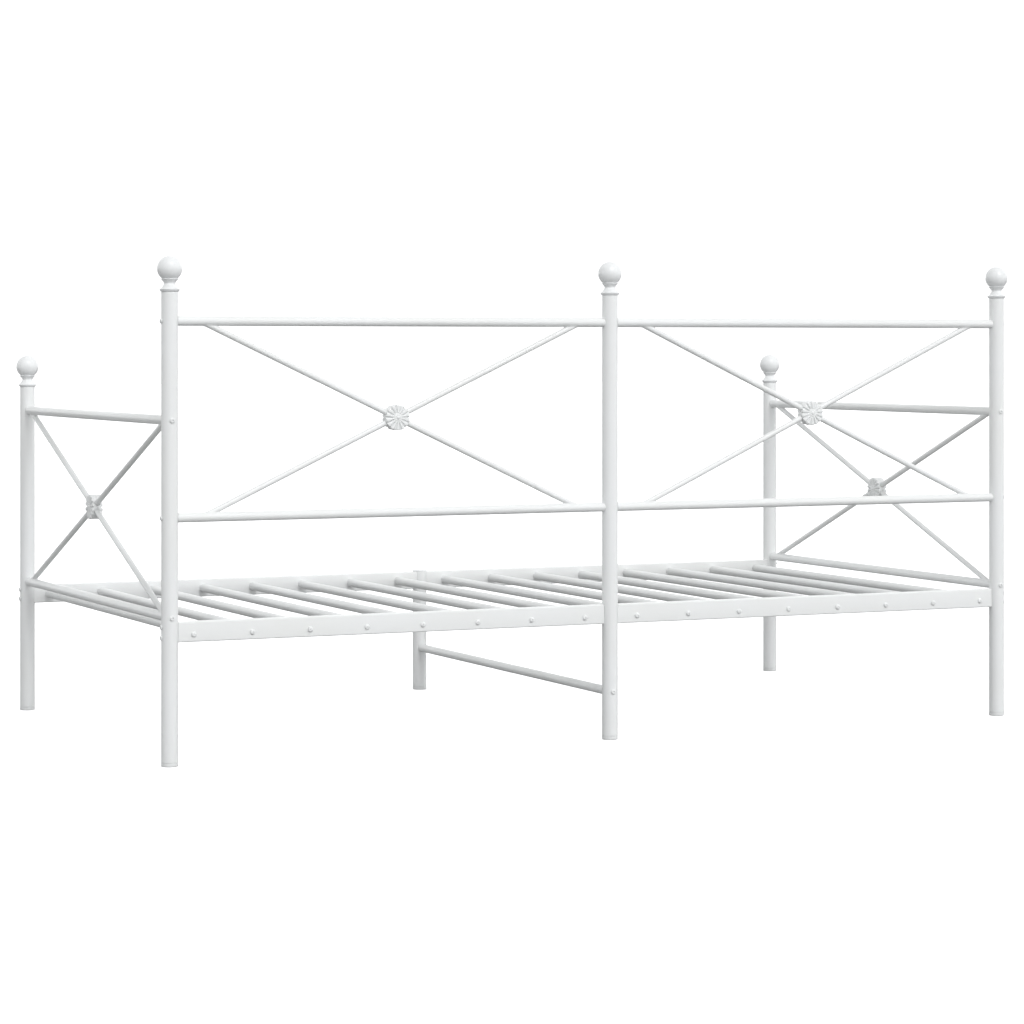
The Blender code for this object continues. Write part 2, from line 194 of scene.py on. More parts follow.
# ---- studio light ---------------------------------------------------------------------------
FLOOR_HALF = 60.0
FLOOR_ROUGHNESS = 0.9
FLOOR_SHINE = 0.1
FLOOR_WHITE = (0.92, 0.92, 0.92, 1.0)     # as the camera sees it
FLOOR_GLOW = 0.50
FLOOR_BOUNCE = (0.27, 0.27, 0.27, 1.0)    # as it lights the bed
WHITE = (1.0, 1.0, 1.0, 1.0)
DOME_COLOUR = (0.985, 0.996, 1.0, 1.0)
DOME_ZENITH = 0.534
DOME_HORIZON = 1.093                 # added to the zenith's level towards the horizon
DOME_LEAN = (-0.154, -0.319, 0.0)    # the dome grows brighter this way
FRONT_WAY = (-0.171, 0.985, 0.0)     # middle of the broad soft light behind the camera
FRONT_LEVEL = 0.931
BACKDROP = 1.2
KEY_WAY = (0.010, -0.707, -0.707)
KEY_STRENGTH = 1.12
KEY_SPREAD = 12.5

X_AXIS = np.array((1.0, 0.0, 0.0))
Y_AXIS = np.array((0.0, 1.0, 0.0))
Z_AXIS = np.array((0.0, 0.0, 1.0))
OUTWARD = {"left": -X_AXIS, "right": X_AXIS, "back": Y_AXIS, "front": -Y_AXIS}

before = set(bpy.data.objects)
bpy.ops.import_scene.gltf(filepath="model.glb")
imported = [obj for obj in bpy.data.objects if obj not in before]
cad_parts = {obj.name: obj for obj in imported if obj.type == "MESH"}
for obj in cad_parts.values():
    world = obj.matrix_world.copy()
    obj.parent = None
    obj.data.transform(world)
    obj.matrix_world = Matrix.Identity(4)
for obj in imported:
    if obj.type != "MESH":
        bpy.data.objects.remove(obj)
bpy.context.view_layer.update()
MATERIALS = {}

END_POSTS = ("back_post_left", "back_post_right", "front_post_left", "front_post_right")
TALL_POSTS = ("back_post_center",) + END_POSTS
UPRIGHTS = TALL_POSTS + ("front_center_leg",)
SLATS = sorted(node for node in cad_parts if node.startswith("slat_"))


# ---- vectors and places ---------------------------------------------------------------------
def unit(vector):
    return vector / np.linalg.norm(vector)


def turn(segments):
    """Angles of equal steps round a circle."""
    return np.arange(segments) * math.tau / segments


def spokes(angles, side, axis):
    """Unit vectors across 'axis' at the angles, from 'side'."""
    return np.outer(np.cos(angles), side) + np.outer(np.sin(angles), np.cross(axis, side))


def progress(value, start, run):
    """0 before 'start', 1 from a 'run' further on."""
    return np.clip((value - start) / run, 0.0, 1.0)


def node_box(name):
    low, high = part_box(name)
    return np.array(low), np.array(high)


def node_center(name):
    low, high = node_box(name)
    return (low + high) / 2


def node_line(name, axis):
    """Both ends of a node's middle line along an axis."""
    low, high = node_box(name)
    middle = (low + high) / 2
    half = (high - low) @ axis / 2
    return middle - half * axis, middle + half * axis


def upright_line(name):
    """Foot of an upright's axis on the floor, and the heights of its two ends."""
    low, high = node_box(name)
    return (low + high) / 2 * (1, 1, 0), low[2], high[2]


def upright_cylinder(name):
    """The cylinder, as (point, axis, radius), that a rail against an upright is coped to."""
    foot, _, _ = upright_line(name)
    return foot, Z_AXIS, POST_R + GAP


def rail_cylinder(name, axis):
    start, _ = node_line(name, axis)
    return start, axis, RAIL_R + GAP


# ---- outlines -------------------------------------------------------------------------------
def circle(radius, segments):
    """Outline maker: the circle drawn in by 'inset'."""
    angles = turn(segments)

    def outline(inset):
        reach = radius - inset
        return np.stack((reach * np.cos(angles), reach * np.sin(angles)), axis=1)

    return outline


def rounded_box(width, height, corner):
    """Outline maker: a rectangle with rounded corners, drawn in by 'inset'."""
    steps = np.linspace(0.0, math.pi / 2, CORNER_SEGMENTS + 1)

    def outline(inset):
        radius = corner - inset
        points = []
        for quarter, (sx, sy) in enumerate(((1, 1), (-1, 1), (-1, -1), (1, -1))):
            angles = steps + quarter * math.pi / 2
            center = np.array((sx * (width / 2 - corner), sy * (height / 2 - corner)))
            points.append(center + radius * np.stack((np.cos(angles), np.sin(angles)), axis=1))
        return np.concatenate(points)

    return outline


def arc(center, radius, start, end, steps):
    """Points (radius, height) of an arc, angles in degrees."""
    angles = np.radians(np.linspace(start, end, steps + 1))
    return [(center[0] + radius * math.cos(a), center[1] + radius * math.sin(a)) for a in angles]


def bezier(points, steps):
    """Points of a quadratic or cubic curve, both ends included."""
    points = [np.array(p, float) for p in points]
    found = []
    for t in np.linspace(0.0, 1.0, steps + 1):
        level = points
        while len(level) > 1:
            level = [(1 - t) * a + t * b for a, b in zip(level, level[1:])]
        found.append(tuple(level[0]))
    return found


def hit(points, way, cylinder):
    """Distance from each point along 'way' to the near side of a cylinder."""
    center, axis, radius = cylinder
    offset = points - center
    offset = offset - np.outer(offset @ axis, axis)
    across = way - (way @ axis) * axis
    a = across @ across
    b = offset @ across
    c = (offset ** 2).sum(axis=1) - radius ** 2
    return (-b - np.sqrt(b * b - a * c)) / a


# ---- shells: vertices, faces and edge wear --------------------------------------------------
class Shell:
    """One or several closed surfaces; 'wear' is 1 on exposed edges and 0 on plain faces."""

    def __init__(self):
        self.points = []
        self.faces = []
        self.wear = []

    def rings(self, rings, wear, loop=False):
        """Joins equal rings of points; a loop closes on itself, otherwise both ends are capped."""
        base = len(self.points)
        count = len(rings[0])
        for ring, worn in zip(rings, wear):
            self.points += [tuple(p) for p in ring]
            self.wear += [float(w) for w in np.broadcast_to(worn, count)]
        pairs = [(k, k + 1) for k in range(len(rings) - 1)]
        if loop:
            pairs.append((len(rings) - 1, 0))
        for low, high in pairs:
            for i in range(count):
                j = (i + 1) % count
                self.faces.append((base + low * count + i, base + low * count + j,
                                   base + high * count + j, base + high * count + i))
        if not loop:
            self.cap(rings[0], base, wear[0], flip=True)
            self.cap(rings[-1], base + (len(rings) - 1) * count, wear[-1], flip=False)
        return self

    def cap(self, ring, first, worn, flip):
        """Fan over a ring, round its middle point."""
        middle = len(self.points)
        self.points.append(tuple(np.mean(ring, axis=0)))
        self.wear.append(float(np.mean(worn)))
        count = len(ring)
        for i in range(count):
            corner = (first + i, first + (i + 1) % count, middle)
            self.faces.append(corner[::-1] if flip else corner)


def sweep(outline, start, end, side, stops=(None, None), wall=None, stations=(), shape=None):
    """Shell of a tube or solid rod from 'start' to 'end'.

    'side' is the outline's first axis.  Each stop is the cylinder that the end is coped to, or
    None for a square end.  'stations' are extra rings, from the middle, which 'shape' may alter.
    """
    way = unit(end - start)
    up = np.cross(way, side)
    middle = (start + end) / 2
    half = np.linalg.norm(end - start) / 2

    def ring(inset, offset, from_end):
        flat = outline(inset)
        points = middle + np.outer(flat[:, 0], side) + np.outer(flat[:, 1], up)
        if from_end == 0:
            return points + offset * way
        stop = stops[0] if from_end < 0 else stops[1]
        reach = half if stop is None else hit(points, from_end * way, stop)
        travel = np.broadcast_to(np.asarray(reach) - offset, len(points))
        return points + from_end * np.outer(travel, way)

    rings = [ring(inset, offset, -1) for inset, offset, _ in CUT_END]
    wear = [worn for _, _, worn in CUT_END]
    for station in stations:
        points = ring(0.0, station, 0)
        rings.append(shape(points, station) if shape else points)
        wear.append(0.0)
    rings += [ring(inset, offset, 1) for inset, offset, _ in reversed(CUT_END)]
    wear += [worn for _, _, worn in reversed(CUT_END)]
    shell = Shell()
    if wall is None:
        return shell.rings(rings, wear)
    rings += [ring(wall, 0.0, 1), ring(wall, 0.0, -1)]
    wear += [BORE_WEAR, BORE_WEAR]
    return shell.rings(rings, wear, loop=True)


def profile_wear(profile):
    """1 where the outline turns sharply outwards, from its turn over the length round it."""
    points = np.array(profile)
    before = points - np.roll(points, 1, axis=0)
    after = np.roll(points, -1, axis=0) - points
    bend = np.arctan2(before[:, 0] * after[:, 1] - before[:, 1] * after[:, 0],
                      (before * after).sum(axis=1))
    span = (np.linalg.norm(before, axis=1) + np.linalg.norm(after, axis=1)) / 2
    curvature = bend / np.maximum(span, SHORTEST)
    curvature[0] = curvature[-1] = 0.0
    return progress(np.abs(curvature), WORN_BEND, FULL_BEND - WORN_BEND) * (curvature > 0)


def lathe(profile, segments, origin, axis, side, shell=None):
    """Shell of a (radius, height) outline, upwards along its outer side, turned about 'axis'."""
    ways = spokes(turn(segments), side, axis)
    rings = [origin + radius * ways + height * axis for radius, height in profile]
    return (shell or Shell()).rings(rings, profile_wear(profile))


def piece(name, shell, material, replaces=(), sharp=40.0):
    """Makes the shell a piece on the rigid body; edges over 'sharp' degrees stay sharp."""
    mesh = bpy.data.meshes.new(name)
    mesh.from_pydata(shell.points, [], shell.faces)
    mesh.attributes.new("wear", "FLOAT", "POINT").data.foreach_set("value", shell.wear)
    mesh.materials.append(MATERIALS[material])
    obj = bpy.data.objects.new(name, mesh)
    bpy.context.scene.collection.objects.link(obj)
    mesh.shade_smooth()
    mesh.set_sharp_from_angle(angle=math.radians(sharp))
    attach(obj, "root")
    if replaces:
        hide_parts(*replaces)


# ---- materials ------------------------------------------------------------------------------
class Graph:
    """A material's node tree, with short ways to add and join nodes."""

    def __init__(self, name, ior):
        self.material = bpy.data.materials.new(name)
        self.material.use_nodes = True
        self.tree = self.material.node_tree
        self.shader = self.tree.nodes["Principled BSDF"]
        self.shader.inputs["IOR"].default_value = ior
        MATERIALS[name] = self.material
        coordinates = self.tree.nodes.new("ShaderNodeTexCoord")
        self.place = coordinates.outputs["Object"]
        wear = self.tree.nodes.new("ShaderNodeAttribute")
        wear.attribute_name = "wear"
        self.wear = wear.outputs["Fac"]

    def link(self, source, target):
        if isinstance(source, (int, float)):
            target.default_value = source
        else:
            self.tree.links.new(source, target)

    def noise(self, scale, detail=2.0, roughness=0.5, stretch=None):
        node = self.tree.nodes.new("ShaderNodeTexNoise")
        node.inputs["Scale"].default_value = scale
        node.inputs["Detail"].default_value = detail
        node.inputs["Roughness"].default_value = roughness
        if stretch is None:
            self.link(self.place, node.inputs["Vector"])
        else:
            mapping = self.tree.nodes.new("ShaderNodeMapping")
            mapping.inputs["Scale"].default_value = stretch
            self.link(self.place, mapping.inputs["Vector"])
            self.link(mapping.outputs["Vector"], node.inputs["Vector"])
        return node.outputs["Fac"]

    def math(self, operation, first, second=0.0, third=0.0):
        node = self.tree.nodes.new("ShaderNodeMath")
        node.operation = operation
        self.link(first, node.inputs[0])
        self.link(second, node.inputs[1])
        self.link(third, node.inputs[2])
        return node.outputs[0]

    def height(self):
        """Height over the floor."""
        split = self.tree.nodes.new("ShaderNodeSeparateXYZ")
        self.link(self.place, split.inputs["Vector"])
        return split.outputs["Z"]

    def ramp(self, value, span, to=(0.0, 1.0)):
        """Carries the span over to the range 'to', and holds its ends beyond."""
        node = self.tree.nodes.new("ShaderNodeMapRange")
        node.clamp = True
        node.inputs["From Min"].default_value = span[0]
        node.inputs["From Max"].default_value = span[1]
        node.inputs["To Min"].default_value = to[0]
        node.inputs["To Max"].default_value = to[1]
        self.link(value, node.inputs["Value"])
        return node.outputs["Result"]

    def mix(self, amount, first, second):
        """Blends two colours, from the first at 0 to the second at 1."""
        node = self.tree.nodes.new("ShaderNodeMix")
        node.data_type = "RGBA"
        self.link(amount, node.inputs["Factor"])
        for source, target in ((first, node.inputs["A"]), (second, node.inputs["B"])):
            if isinstance(source, tuple):
                target.default_value = (*source, 1.0)
            else:
                self.tree.links.new(source, target)
        return node.outputs["Result"]

    def bump(self, height, distance, strength=1.0, under=None):
        node = self.tree.nodes.new("ShaderNodeBump")
        node.inputs["Distance"].default_value = distance
        node.inputs["Strength"].default_value = strength
        self.link(height, node.inputs["Height"])
        if under is not None:
            self.tree.links.new(under, node.inputs["Normal"])
        return node.outputs["Normal"]

    def finish(self, colour, roughness, normal):
        self.tree.links.new(colour, self.shader.inputs["Base Color"])
        self.link(roughness, self.shader.inputs["Roughness"])
        self.tree.links.new(normal, self.shader.inputs["Normal"])


def shade(colour, red, green=None, blue=None):
    """The colour times one factor, or times one for each channel."""
    factors = (red, red, red) if green is None else (red, green, blue)
    return tuple(c * k for c, k in zip(colour, factors))


def powder_coat(name, colour, gloss):
    """Baked powder coat: orange peel, faint colour drift, thinner and duller along edges."""
    graph = Graph(name, COAT_IOR)
    patches = graph.ramp(graph.noise(scale=5.0, detail=3.0), span=(0.35, 0.65))
    base = graph.mix(patches, colour, shade(colour, 0.985, 0.982, 0.972))
    spots = graph.ramp(graph.noise(scale=420.0, detail=4.0, roughness=0.65), span=(0.42, 0.62))
    rubbed = graph.math("MULTIPLY", graph.wear, spots)
    base = graph.mix(graph.math("MULTIPLY", rubbed, 0.55), base, shade(colour, 0.86))
    peel = graph.noise(scale=900.0, detail=1.0, roughness=0.4)
    normal = graph.bump(graph.noise(scale=140.0), distance=0.00010, strength=0.6)
    normal = graph.bump(peel, distance=0.00006, strength=0.8, under=normal)
    clouds = graph.noise(scale=60.0, detail=4.0, roughness=0.6)
    rough = graph.ramp(clouds, span=(0.3, 0.7), to=(gloss - 0.05, gloss + 0.06))
    rough = graph.math("MULTIPLY_ADD", rubbed, 0.15, rough)
    graph.finish(base, rough, normal)


def cast_coat(name, colour):
    """Coated casting: sandy skin under the coat, a little grey in its lumps, lighter on crests."""
    graph = Graph(name, COAT_IOR)
    grain = graph.noise(scale=1600.0, detail=5.0, roughness=0.6)
    lumps = graph.noise(scale=380.0, detail=3.0)
    base = graph.mix(graph.ramp(lumps, span=(0.4, 0.7)), colour, shade(colour, 0.93))
    spots = graph.ramp(graph.noise(scale=700.0, detail=3.0), span=(0.4, 0.6))
    rubbed = graph.math("MULTIPLY", graph.wear, spots)
    base = graph.mix(graph.math("MULTIPLY", rubbed, 0.5), base, shade(colour, 1.04))
    normal = graph.bump(lumps, distance=0.00018, strength=0.7)
    normal = graph.bump(grain, distance=0.00005, strength=0.7, under=normal)
    graph.finish(base, graph.ramp(grain, span=(0.3, 0.7), to=(0.42, 0.56)), normal)


def moulded_plastic(name, colour, gloss):
    """Injection-moulded plastic: smooth skin with faint flow marks and fine handling marks."""
    graph = Graph(name, PLASTIC_IOR)
    flow = graph.noise(scale=30.0, detail=3.0, stretch=(1.0, 1.0, 2.6))
    base = graph.mix(graph.ramp(flow, span=(0.35, 0.65)), colour, shade(colour, 0.975))
    marks = graph.noise(scale=260.0, detail=6.0, roughness=0.7, stretch=(1.0, 3.0, 0.4))
    rough = graph.ramp(marks, span=(0.4, 0.75), to=(gloss, gloss + 0.14))
    normal = graph.bump(flow, distance=0.00030, strength=0.4)
    skin = graph.noise(scale=1500.0, detail=1.0)
    normal = graph.bump(skin, distance=0.00002, strength=0.6, under=normal)
    graph.finish(base, rough, normal)


def foot_plastic(name, colour):
    """Grained plastic, scuffed grey where it meets the floor."""
    graph = Graph(name, PLASTIC_IOR)
    low = graph.ramp(graph.height(), span=(0.0, FLOOR_SCUFF), to=(1.0, 0.0))
    marks = graph.noise(scale=520.0, detail=5.0, roughness=0.7, stretch=(1.0, 1.0, 3.0))
    scuffs = graph.ramp(marks, span=(0.40, 0.62))
    dirt = graph.math("MULTIPLY", graph.math("MULTIPLY", low, scuffs), 0.55)
    base = graph.mix(dirt, colour, SCUFF_COLOUR)
    grain = graph.noise(scale=2200.0, detail=3.0, roughness=0.6)
    rough = graph.ramp(grain, span=(0.3, 0.7), to=(0.48, 0.62))
    graph.finish(base, rough, graph.bump(grain, distance=0.00006, strength=0.8))


def bolt_coat(name, colour, steel):
    """Painted bolt head whose socket edges and rim have been rubbed through to zinc."""
    graph = Graph(name, COAT_IOR)
    spots = graph.ramp(graph.noise(scale=1300.0, detail=4.0, roughness=0.7), span=(0.45, 0.58))
    bare = graph.math("MULTIPLY", graph.ramp(graph.wear, span=(0.55, 1.0)), spots)
    base = graph.mix(graph.math("MULTIPLY", bare, 0.7), colour, steel)
    graph.link(graph.math("MULTIPLY", bare, 0.8), graph.shader.inputs["Metallic"])
    peel = graph.noise(scale=1400.0, detail=1.0)
    rough = graph.ramp(peel, span=(0.3, 0.7), to=(0.30, 0.40))
    graph.finish(base, rough, graph.bump(peel, distance=0.00004, strength=0.7))


def weld_coat(name, colour):
    """Powder coat over a ground weld: softer and lumpier than the tube beside it."""
    graph = Graph(name, COAT_IOR)
    lumps = graph.noise(scale=520.0, detail=3.0, roughness=0.6)
    base = graph.mix(graph.ramp(lumps, span=(0.4, 0.7)), colour, shade(colour, 0.95))
    rough = graph.ramp(lumps, span=(0.3, 0.7), to=(0.38, 0.50))
    graph.finish(base, rough, graph.bump(lumps, distance=0.00016, strength=0.8))


def make_materials():
    powder_coat("post_coat", (0.80, 0.81, 0.815), gloss=0.36)
    powder_coat("rail_coat", (0.80, 0.81, 0.812), gloss=0.38)
    powder_coat("slat_coat", (0.79, 0.80, 0.802), gloss=0.40)
    powder_coat("bar_coat", (0.80, 0.81, 0.812), gloss=0.37)
    cast_coat("cast_coat", (0.82, 0.83, 0.83))
    moulded_plastic("finial_gloss", (0.81, 0.82, 0.825), gloss=0.26)
    foot_plastic("foot_plastic", (0.74, 0.75, 0.75))
    bolt_coat("bolt_coat", (0.78, 0.79, 0.79), steel=(0.55, 0.56, 0.57))
    weld_coat("weld_coat", (0.79, 0.80, 0.80))


# ---- uprights -------------------------------------------------------------------------------
def make_upright(name):
    foot, low, high = upright_line(name)
    shell = sweep(circle(POST_R, POST_SEGMENTS), foot + low * Z_AXIS, foot + high * Z_AXIS, X_AXIS,
                  wall=TUBE_WALL)
    piece("upright_" + name, shell, "post_coat", (name,))


def make_foot(name):
    """Plug in an upright's lower end, on a ring round a shallow hollow."""
    node = "foot_plug_" + name
    foot, tube_low, _ = upright_line(name)
    top = node_box(node)[1][2]
    shoulder = tube_low - GAP
    ring_r = POST_R - FOOT_RING
    profile = [(CORE_R, FOOT_HOLLOW), (ring_r - FOOT_SLOPE, FOOT_HOLLOW), (ring_r, 0.0)]
    profile += arc((POST_R - FOOT_ROUND, FOOT_ROUND), FOOT_ROUND, -90.0, 0.0, 6)
    profile += arc((POST_R - FOOT_EDGE, shoulder - FOOT_EDGE), FOOT_EDGE, 0.0, 90.0, 3)
    profile += [(SPIGOT_R + FOOT_FILLET[0], shoulder), (SPIGOT_R, shoulder + FOOT_FILLET[1]),
                (SPIGOT_R, top - SPIGOT_EDGE), (SPIGOT_R - SPIGOT_EDGE, top), (CORE_R, top)]
    shell = lathe(profile, POST_SEGMENTS, foot, Z_AXIS, X_AXIS)
    piece("foot_" + name, shell, "foot_plastic", (node,))


def spigot_profile(low, seat):
    """Outline of a spigot, from its bottom up to just below the seat on the tube's end."""
    return [(CORE_R, low), (SPIGOT_R - SPIGOT_EDGE, low), (SPIGOT_R, low + SPIGOT_EDGE),
            (SPIGOT_R, seat - NICK)]


def make_leg_cap():
    node = "front_center_leg_cap"
    foot, _, leg_top = upright_line("front_center_leg")
    low, high = node_box(node)
    seat = leg_top + GAP
    crown = high[2]
    profile = spigot_profile(low[2], seat) + [(POST_R - CAP_INSET, seat)]
    profile += arc((POST_R - CAP_EDGE, crown - CAP_EDGE_DROP), CAP_EDGE, 0.0, 70.0, 6)
    profile += bezier([(POST_R - CAP_EDGE, crown - CAP_CROWN), (POST_R / 2, crown), (CORE_R, crown)], 6)
    shell = lathe(profile, POST_SEGMENTS, foot, Z_AXIS, X_AXIS)
    piece("leg_cap", shell, "finial_gloss", (node,))


def finial_profile(ball_r, total, spigot_low):
    """Outline from the spigot's bottom, by flange, neck and cup, up to the top of the ball."""
    ball_z = total - ball_r
    seat_z = CUP_Z + BALL_SEAT
    profile = spigot_profile(spigot_low, 0.0)
    profile += [(SPIGOT_R + SEAT_FILLET, 0.0), (POST_R + NICK, 0.0)]
    profile += bezier(FLARE, 7)
    profile += arc((FLANGE_R - FLANGE_LIP, FLANGE_LIP_Z), FLANGE_LIP, -20.0, 80.0, 4)
    profile += bezier(SKIRT, 12)
    profile += bezier(BOWL, 10)
    profile += arc((CUP_R - CUP_LIP, CUP_Z), CUP_LIP, -35.0, 90.0, 5)
    seat_r = math.sqrt(ball_r ** 2 - (ball_z - seat_z) ** 2)
    profile.append((seat_r - NICK, CUP_Z + CUP_LIP))
    start = math.degrees(math.asin((seat_z - ball_z) / ball_r))
    profile += arc((0.0, ball_z), ball_r, start, BALL_POLE, 32)
    return profile


def make_finial(name):
    node = "finial_" + name
    low, high = node_box(node)
    foot, _, post_top = upright_line(name)
    seat = post_top + GAP
    ball_r = (high[0] - low[0]) / 2
    profile = finial_profile(ball_r, high[2] - seat, low[2] - seat)
    shell = lathe(profile, FINIAL_SEGMENTS, foot + seat * Z_AXIS, Z_AXIS, X_AXIS)
    piece("finial_ball_" + name, shell, "finial_gloss", (node,))


# ---- rails and slats ------------------------------------------------------------------------
def make_round_rail(node, axis, posts):
    start, end = node_line(node, axis)
    stops = tuple(upright_cylinder(post) for post in posts)
    shell = sweep(circle(RAIL_R, RAIL_SEGMENTS), start, end, Z_AXIS, stops, TUBE_WALL)
    piece("tube_" + node, shell, "rail_coat", (node,))


def make_side_rail(node, posts):
    low, high = node_box(node)
    start, end = node_line(node, X_AXIS)
    outline = rounded_box(high[2] - low[2], high[1] - low[1], FLAT_CORNER)
    stops = tuple(upright_cylinder(post) for post in posts)
    shell = sweep(outline, start, end, Z_AXIS, stops, SIDE_RAIL_WALL)
    piece("box_tube_" + node, shell, "rail_coat", (node,))


def make_slat(node):
    start, end = node_line(node, Y_AXIS)
    shell = sweep(circle(SLAT_R, RAIL_SEGMENTS), start, end, Z_AXIS, wall=SLAT_WALL)
    piece("tube_" + node, shell, "slat_coat", (node,))


# ---- crossed bars and welds -----------------------------------------------------------------
def weld_bead(name, origin, way, side, cylinder, phase):
    """Fillet all round the end of a bar that runs from 'origin' along 'way' into a cylinder."""
    angles = turn(2 * BAR_SEGMENTS)
    outward = spokes(angles, side, way)
    foot = origin + BAR_R * outward
    foot = foot + np.outer(hit(foot, way, cylinder), way)
    center, axis, cylinder_r = cylinder
    spoke = foot - center
    spoke = spoke - np.outer(spoke @ axis, axis)
    normal = spoke / np.linalg.norm(spoke, axis=1, keepdims=True)
    along = outward - (outward * normal).sum(axis=1, keepdims=True) * normal
    along = along / np.linalg.norm(along, axis=1, keepdims=True)
    width = WELD_WIDTH * (1.0 + WELD_RIPPLE * np.sin(WELD_RIPPLES * angles + phase)
                          + WELD_WAVE * np.sin(WELD_WAVES * angles + 2.1 * phase))[:, None]
    top = foot - width * way
    toe = foot + width * along
    drop = toe - center
    drop = drop - np.outer(drop @ axis, axis)
    reach = np.linalg.norm(drop, axis=1, keepdims=True)
    toe = toe + drop / reach * (cylinder_r - GAP - reach)
    bulge = foot + WELD_BULGE * width * (along - way)
    rings = []
    for t in np.linspace(0.0, 1.0, WELD_STEPS + 1):
        rings.append((1 - t) ** 2 * top + 2 * t * (1 - t) * bulge + t ** 2 * toe)
    rings.append(toe - WELD_ROOT * normal)
    rings.append(foot - 1.5 * WELD_ROOT * outward - 0.5 * WELD_ROOT * normal)
    rings.append(top - WELD_ROOT * outward)
    shell = Shell().rings(rings, [0.0] * len(rings), loop=True)
    piece(name, shell, "weld_coat")


def make_bar(node, center, way, normal, keep, stops):
    """A bar between two rails; 'keep' is the side of the bars' plane that its halving keeps."""
    def halve(points, station):
        if abs(station) > NOTCH_HALF:
            return points
        depth = (points - center) @ normal
        lift = np.where(depth * keep < GAP / 2, keep * GAP / 2 - depth, 0.0)
        return points + np.outer(lift, normal)

    outer = NOTCH_HALF + NOTCH_STEP
    shell = sweep(circle(BAR_R, BAR_SEGMENTS), center - NOTCH_HALF * way, center + NOTCH_HALF * way,
                  normal, stops, stations=(-outer, -NOTCH_HALF, NOTCH_HALF, outer), shape=halve)
    piece("rod_" + node, shell, "bar_coat", (node,))


def make_cross(bay, in_plane, normal, slope):
    """Both bars of a bay between its lower and top rails, their welds, and the rosette."""
    panel, side = bay.split("_")
    center = node_center(bay + "_rosette")
    lower, upper = (rail_cylinder("%s_%s_rail_%s" % (panel, level, side), in_plane)
                    for level in ("lower", "top"))
    rising = unit(in_plane + slope * Z_AXIS)
    falling = unit(in_plane - slope * Z_AXIS)
    for kind, way, keep, stops in (("rising", rising, 1.0, (lower, upper)),
                                   ("falling", falling, -1.0, (upper, lower))):
        node = "%s_bar_%s" % (bay, kind)
        make_bar(node, center, way, normal, keep, stops)
        for end, stop, sign in (("start", stops[0], -1.0), ("end", stops[1], 1.0)):
            phase = 1.7 * len(bay) + sign + 2.3 * keep      # so that no two beads are alike
            weld_bead("weld_%s_%s" % (node, end), center, sign * way, normal, stop, phase)
    make_rosette(bay + "_rosette", center, normal, in_plane, (rising, falling))


# ---- rosettes -------------------------------------------------------------------------------
def petal_share(angle):
    """0 on the crest of a petal, 1 in the flute between two petals."""
    return 1.0 - np.arcsin(np.abs(np.sin(PETALS * angle / 2))) / (math.pi / 2)


def face_height(radius, angle):
    """Height of a half's face over the bars' plane: petals, boss and rivet head."""
    outward = progress(radius, BOSS_R, ROSETTE_R - BOSS_R)
    across = petal_share(angle)
    flank = progress(across, FLUTE_START, 1.0 - FLUTE_START)
    flank = flank ** 2 * (3.0 - 2.0 * flank)
    flute = FLUTE_DEPTH * progress(radius, BOSS_R - FLUTE_LEAD, FLUTE_RUN) * flank
    fall = RIM_FALL * progress(radius, ROSETTE_R - RIM_FALL_RUN, RIM_FALL_RUN) ** 2
    petals = CREST + PETAL_ARCH * np.sin(outward * math.pi) - PETAL_ROUND * across ** 2 - flute - fall
    boss = BOSS_H - BOSS_FALL * (radius / BOSS_R) ** 4
    boss = boss + BUTTON_H * np.sqrt(np.clip(1.0 - (radius / BUTTON_R) ** 2, 0.0, 1.0))
    boss = boss - DITCH_DEPTH * np.exp(-((radius - BUTTON_R) / DITCH_HALF) ** 2)
    edge = 1.0 / (1.0 + np.exp((radius - BOSS_R) / BOSS_BLEND))
    return edge * boss + (1.0 - edge) * petals


def face_reaches():
    """Radii of a face's rings, closer round the rivet head and at the boss's edge."""
    button = BUTTON_R * np.array((0.15, 0.35, 0.55, 0.72, 0.85, 0.94, 0.99, 1.03, 1.15, 1.3))
    boss = np.linspace(1.5 * BUTTON_R, BOSS_R - 2 * STEP_HALF, 4)
    step = np.linspace(BOSS_R - STEP_HALF, BOSS_R + STEP_HALF, 7)
    petals = np.linspace(BOSS_R + PETAL_MARGINS[0], ROSETTE_R - PETAL_MARGINS[1], 12)
    return np.concatenate((button, boss, step, petals))


